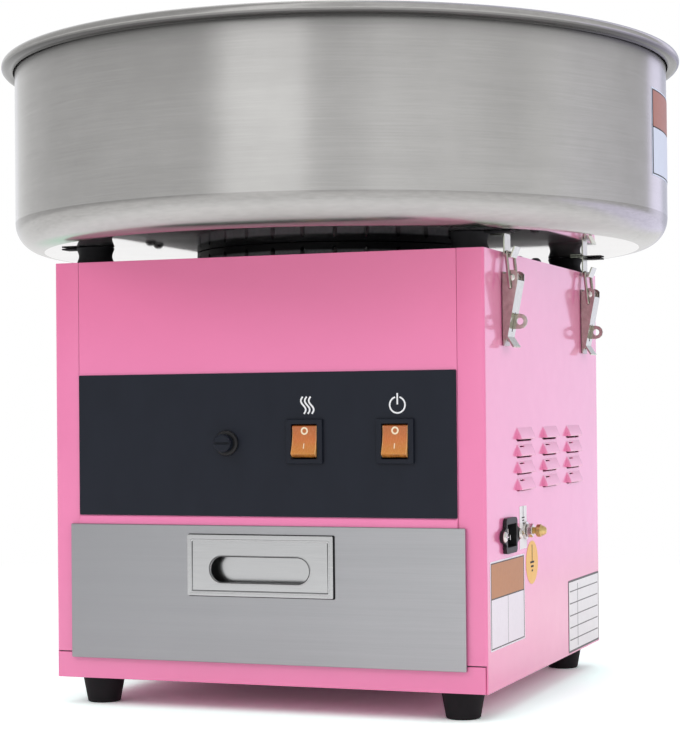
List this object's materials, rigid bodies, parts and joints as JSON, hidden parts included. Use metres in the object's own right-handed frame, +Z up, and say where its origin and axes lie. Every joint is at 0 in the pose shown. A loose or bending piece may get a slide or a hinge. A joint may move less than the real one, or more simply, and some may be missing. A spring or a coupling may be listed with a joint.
{
  "type": "tabletop cotton candy machine",
  "caption": "Electric tabletop cotton candy machine: square sheet housing with drawer and switches under a round steel bowl held by toggle latches, with a spinning heated head.",
  "frame": {"origin": "on the table under the middle of the housing, which is the middle of the feet", "axes": "+Z up, +X to the machine's right seen from its front, +Y to its back; the controls and the drawer face -Y"},
  "size_m": [0.52, 0.52, 0.477],
  "materials": {
    "pink_paint": "gloss enamel",
    "black_paint": "satin enamel",
    "fascia_film": "printed film",
    "brushed_steel": "brushed",
    "bowl_steel": "spun and polished",
    "plated_steel": "bright nickel plate",
    "rubber": "matt",
    "black_plastic": "moulded",
    "amber_plastic": "translucent amber",
    "brass": "turned",
    "aluminium": "turned",
    "motor_paint": "matt enamel",
    "heater_sheath": "heat-darkened"
  },
  "bodies": {
    "chassis": {"foot_front_left": "rubber", "foot_front_right": "rubber", "foot_rear_left": "rubber", "foot_rear_right": "rubber", "base_tray": "pink_paint", "left_side_panel": "pink_paint", "right_side_panel": "pink_paint", "front_panel": "pink_paint", "back_panel": "pink_paint", "top_cover": "black_paint", "cover_screw_left": "black_paint", "cover_screw_right": "black_paint", "control_fascia": "fascia_film", "heat_switch_housing": "black_plastic", "power_switch_housing": "black_plastic", "fuse_holder": "black_plastic", "drawer_runner_left": "plated_steel", "drawer_runner_right": "plated_steel", "mains_inlet": "black_plastic", "inlet_screw_front": "plated_steel", "inlet_screw_rear": "plated_steel", "earth_stud": "brass", "earth_nut": "brass", "motor": "motor_paint", "motor_bracket": "plated_steel", "brush_block": "black_plastic", "vent_ring": "black_plastic", "bowl_rest_front_left": "rubber", "bowl_rest_front_right": "rubber", "bowl_rest_rear_left": "rubber", "bowl_rest_rear_right": "rubber", "bowl": "bowl_steel", "keeper_front_left": "plated_steel", "keeper_front_right": "plated_steel", "keeper_rear_left": "plated_steel", "keeper_rear_right": "plated_steel", "latch_base_front_left": "plated_steel", "latch_base_front_right": "plated_steel", "latch_base_rear_left": "plated_steel", "latch_base_rear_right": "plated_steel"},
    "spinner": {"drive_shaft": "plated_steel", "slip_ring": "brass", "head_base": "aluminium", "heater_ring": "heater_sheath", "floss_band": "aluminium", "head_lid": "aluminium"},
    "drawer": {"drawer_box": "plated_steel", "drawer_front": "brushed_steel", "drawer_pull": "brushed_steel"},
    "heat_rocker": {"heat_switch_rocker": "amber_plastic"},
    "power_rocker": {"power_switch_rocker": "amber_plastic"},
    "fuse_cap": {"fuse_cap": "black_plastic"},
    "lever_front_left": {"latch_lever_front_left": "plated_steel"},
    "lever_front_right": {"latch_lever_front_right": "plated_steel"},
    "lever_rear_left": {"latch_lever_rear_left": "plated_steel"},
    "lever_rear_right": {"latch_lever_rear_right": "plated_steel"},
    "bail_front_left": {"latch_bail_front_left": "plated_steel"},
    "bail_front_right": {"latch_bail_front_right": "plated_steel"},
    "bail_rear_left": {"latch_bail_rear_left": "plated_steel"},
    "bail_rear_right": {"latch_bail_rear_right": "plated_steel"}
  },
  "joints": [
    {"name": "head_spin", "type": "hinge", "parent": "chassis", "child": "spinner", "pos_m": [0, 0, 0.345], "axis": [0, 0, 1], "continuous": true},
    {"name": "drawer_slide", "type": "slide", "parent": "chassis", "child": "drawer", "axis": [0, -1, 0], "range_m": [0, 0.2]},
    {"name": "heat_switch_press", "type": "hinge", "parent": "chassis", "child": "heat_rocker", "pos_m": [0.033, -0.1611, 0.1899], "axis": [1, 0, 0], "range_deg": [0, 21]},
    {"name": "power_switch_press", "type": "hinge", "parent": "chassis", "child": "power_rocker", "pos_m": [0.0993, -0.1611, 0.1899], "axis": [1, 0, 0], "range_deg": [0, 21]},
    {"name": "fuse_cap_turn", "type": "hinge", "parent": "chassis", "child": "fuse_cap", "pos_m": [-0.0262, -0.17, 0.1889], "axis": [0, 1, 0], "range_deg": [-90, 0]},
    {"name": "lever_front_left_swing", "type": "hinge", "parent": "chassis", "child": "lever_front_left", "pos_m": [-0.1701, -0.112, 0.3018], "axis": [0, 1, 0], "range_deg": [0, 110]},
    {"name": "lever_front_right_swing", "type": "hinge", "parent": "chassis", "child": "lever_front_right", "pos_m": [0.1701, -0.112, 0.3018], "axis": [0, -1, 0], "range_deg": [0, 110]},
    {"name": "lever_rear_left_swing", "type": "hinge", "parent": "chassis", "child": "lever_rear_left", "pos_m": [-0.1701, 0.116, 0.3018], "axis": [0, 1, 0], "range_deg": [0, 110]},
    {"name": "lever_rear_right_swing", "type": "hinge", "parent": "chassis", "child": "lever_rear_right", "pos_m": [0.1701, 0.116, 0.3018], "axis": [0, -1, 0], "range_deg": [0, 110]},
    {"name": "bail_front_left_swing", "type": "hinge", "parent": "lever_front_left", "child": "bail_front_left", "pos_m": [-0.1691, -0.112, 0.2949], "axis": [0, 1, 0], "range_deg": [-90.3, 0]},
    {"name": "bail_front_right_swing", "type": "hinge", "parent": "lever_front_right", "child": "bail_front_right", "pos_m": [0.1691, -0.112, 0.2949], "axis": [0, -1, 0], "range_deg": [-90.3, 0]},
    {"name": "bail_rear_left_swing", "type": "hinge", "parent": "lever_rear_left", "child": "bail_rear_left", "pos_m": [-0.1691, 0.116, 0.2949], "axis": [0, 1, 0], "range_deg": [-90.3, 0]},
    {"name": "bail_rear_right_swing", "type": "hinge", "parent": "lever_rear_right", "child": "bail_rear_right", "pos_m": [0.1691, 0.116, 0.2949], "axis": [0, -1, 0], "range_deg": [-90.3, 0]}
  ],
  "couplings": [
    {"joint": "bail_front_left_swing", "follows": "lever_front_left_swing", "ratio": -0.82},
    {"joint": "bail_front_right_swing", "follows": "lever_front_right_swing", "ratio": -0.82},
    {"joint": "bail_rear_left_swing", "follows": "lever_rear_left_swing", "ratio": -0.82},
    {"joint": "bail_rear_right_swing", "follows": "lever_rear_right_swing", "ratio": -0.82}
  ]
}
